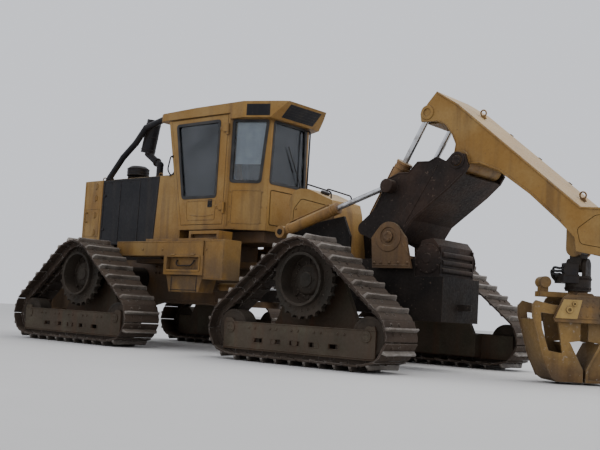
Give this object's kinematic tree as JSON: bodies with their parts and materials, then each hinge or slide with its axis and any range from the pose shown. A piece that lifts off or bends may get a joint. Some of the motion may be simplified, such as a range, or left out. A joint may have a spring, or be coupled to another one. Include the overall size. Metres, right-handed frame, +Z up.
{
  "type": "grapple skidder",
  "caption": "Articulated forestry skidder on triangular steel track units, with a glazed cab, arch, boom and hanging log grapple.",
  "frame": {"origin": "middle of the machine's length and width, on the ground under the track lugs", "axes": "+X towards the engine end, +Y to the machine's left, +Z up"},
  "size_m": [8.595, 3.334, 3.2922],
  "materials": {
    "yellow_panels": "satin, worn and dusty",
    "ochre_steel": "worn and muddy",
    "muddy_steel": "dirty",
    "track_steel": "dry mud over steel, lugs worn bright",
    "rusty_steel": "worn to rust",
    "black_parts": "matt",
    "black_plastic": "matt",
    "seat_fabric": "woven",
    "window_glass": "tinted, dusty",
    "rod_chrome": "polished"
  },
  "bodies": {
    "front": {"front_frame": "ochre_steel", "front_axle": "muddy_steel", "engine_block": "black_parts", "radiator_panel": "yellow_panels", "radiator_grille": "black_parts", "hood": "yellow_panels", "engine_side_panels": "black_parts", "cab_cowl": "yellow_panels", "pre_cleaner": "black_plastic", "exhaust": "black_parts", "limb_risers": "black_parts", "cab_floor": "black_parts", "cab_front_wall": "yellow_panels", "cab_side_walls": "yellow_panels", "cab_rear_walls": "yellow_panels", "cab_roof": "yellow_panels", "roof_vents": "black_parts", "cab_windows": "window_glass", "seat": "seat_fabric", "console": "black_plastic", "left_side_box": "ochre_steel", "right_side_box": "ochre_steel", "front_left_track": "track_steel", "front_right_track": "track_steel", "front_sprockets": "track_steel", "front_rollers": "track_steel", "front_roller_frames": "track_steel"},
    "door": {"cab_door": "yellow_panels", "door_glass": "window_glass"},
    "blade": {"blade": "ochre_steel"},
    "blade_barrels": {"blade_barrels": "ochre_steel"},
    "blade_rods": {"blade_rods": "rod_chrome"},
    "left_steer_barrel": {"left_steer_barrel": "ochre_steel"},
    "left_steer_rod": {"left_steer_rod": "rod_chrome"},
    "right_steer_barrel": {"right_steer_barrel": "ochre_steel"},
    "right_steer_rod": {"right_steer_rod": "rod_chrome"},
    "rear": {"rear_frame": "muddy_steel", "rear_axle": "muddy_steel", "rear_deck": "yellow_panels", "tower_plates": "ochre_steel", "winch_box": "muddy_steel", "rear_left_track": "track_steel", "rear_right_track": "track_steel", "rear_sprockets": "track_steel", "rear_rollers": "track_steel", "rear_roller_frames": "track_steel"},
    "arch_barrels": {"arch_barrels": "ochre_steel"},
    "arch_rods": {"arch_rods": "rod_chrome"},
    "arch": {"arch": "muddy_steel"},
    "boom_barrels": {"boom_barrels": "ochre_steel"},
    "boom_rods": {"boom_rods": "rod_chrome"},
    "boom": {"boom": "yellow_panels"},
    "swing_link": {"swing_link": "muddy_steel"},
    "rotator": {"rotator": "muddy_steel"},
    "grapple_head": {"grapple_head": "ochre_steel"},
    "left_tong": {"left_tong": "rusty_steel"},
    "right_tong": {"right_tong": "rusty_steel"}
  },
  "joints": [
    {"name": "steering", "type": "hinge", "parent": "front", "child": "rear", "pos_m": [0.5425, 0, 0.9], "axis": [0, 0, 1], "range_deg": [-33, 33]},
    {"name": "left_steer_swing", "type": "hinge", "parent": "front", "child": "left_steer_barrel", "pos_m": [1.0525, 0.5, 0.85], "axis": [0, 0, 1], "range_deg": [-19.84, 19.84]},
    {"name": "left_steer_stroke", "type": "slide", "parent": "left_steer_barrel", "child": "left_steer_rod", "axis": [-1, 0, 0], "range_m": [-0.2894, 0.2894]},
    {"name": "right_steer_swing", "type": "hinge", "parent": "front", "child": "right_steer_barrel", "pos_m": [1.0525, -0.5, 0.85], "axis": [0, 0, 1], "range_deg": [-19.84, 19.84]},
    {"name": "right_steer_stroke", "type": "slide", "parent": "right_steer_barrel", "child": "right_steer_rod", "axis": [-1, 0, 0], "range_m": [-0.2894, 0.2894]},
    {"name": "door_hinge", "type": "hinge", "parent": "front", "child": "door", "pos_m": [0.8505, 0.662, 2.4], "axis": [0, 0, 1], "range_deg": [0, 105]},
    {"name": "blade_lift", "type": "hinge", "parent": "front", "child": "blade", "pos_m": [3.1425, 0, 0.72], "axis": [0, -1, 0], "range_deg": [-16, 20]},
    {"name": "blade_barrel_swing", "type": "hinge", "parent": "front", "child": "blade_barrels", "pos_m": [3.3125, 0, 1.12], "axis": [0, -1, 0], "range_deg": [-15.19, 18.98]},
    {"name": "blade_stroke", "type": "slide", "parent": "blade_barrels", "child": "blade_rods", "axis": [0.8339, 0, -0.552], "range_m": [-0.1511, 0.1209]},
    {"name": "arch_swing", "type": "hinge", "parent": "rear", "child": "arch", "pos_m": [-1.6775, 0, 1.49], "axis": [0, 1, 0], "range_deg": [-25, 25]},
    {"name": "arch_barrel_swing", "type": "hinge", "parent": "rear", "child": "arch_barrels", "pos_m": [-0.0875, 0, 1.56], "axis": [0, 1, 0], "range_deg": [-2.76, 2.76]},
    {"name": "arch_stroke", "type": "slide", "parent": "arch_barrels", "child": "arch_rods", "axis": [-0.9517, 0, 0.3072], "range_m": [-0.26, 0.26]},
    {"name": "boom_lift", "type": "hinge", "parent": "arch", "child": "boom", "pos_m": [-2.5075, 0, 2.33], "axis": [0, -1, 0], "range_deg": [-40, 14]},
    {"name": "boom_barrel_swing", "type": "hinge", "parent": "arch", "child": "boom_barrels", "pos_m": [-1.2875, 0, 1.6], "axis": [0, -1, 0], "range_deg": [-3.27, 1.15]},
    {"name": "boom_stroke", "type": "slide", "parent": "boom_barrels", "child": "boom_rods", "axis": [-0.4904, 0, 0.8715], "range_m": [-0.5021, 0.1758]},
    {"name": "grapple_swing", "type": "hinge", "parent": "boom", "child": "swing_link", "pos_m": [-3.7475, 0, 1.38], "axis": [0, 1, 0], "range_deg": [-22, 26]},
    {"name": "grapple_sway", "type": "hinge", "parent": "swing_link", "child": "rotator", "pos_m": [-3.7475, 0, 1.215], "axis": [1, 0, 0], "range_deg": [-18, 18]},
    {"name": "grapple_turn", "type": "hinge", "parent": "rotator", "child": "grapple_head", "pos_m": [-3.7475, 0, 0.92], "axis": [0, 0, 1], "range_deg": [-142, 218]},
    {"name": "left_tong_open", "type": "hinge", "parent": "grapple_head", "child": "left_tong", "pos_m": [-3.62729, 0.12021, 0.74], "axis": [0.7071, -0.7071, 0], "range_deg": [0, 52]},
    {"name": "right_tong_open", "type": "hinge", "parent": "grapple_head", "child": "right_tong", "pos_m": [-3.86771, -0.12021, 0.74], "axis": [-0.7071, 0.7071, 0], "range_deg": [0, 52]}
  ],
  "couplings": [
    {"joint": "left_steer_swing", "follows": "steering", "ratio": 0.589},
    {"joint": "left_steer_stroke", "follows": "steering", "m_per_rad": 0.4925},
    {"joint": "right_steer_swing", "follows": "steering", "ratio": 0.589},
    {"joint": "right_steer_stroke", "follows": "steering", "m_per_rad": -0.4925},
    {"joint": "blade_barrel_swing", "follows": "blade_lift", "ratio": 0.93},
    {"joint": "blade_stroke", "follows": "blade_lift", "m_per_rad": -0.424},
    {"joint": "arch_barrel_swing", "follows": "arch_swing", "ratio": 0.108},
    {"joint": "arch_stroke", "follows": "arch_swing", "m_per_rad": -0.584},
    {"joint": "boom_barrel_swing", "follows": "boom_lift", "ratio": 0.08},
    {"joint": "boom_stroke", "follows": "boom_lift", "m_per_rad": 0.705},
    {"joint": "right_tong_open", "follows": "left_tong_open", "ratio": 1}
  ]
}
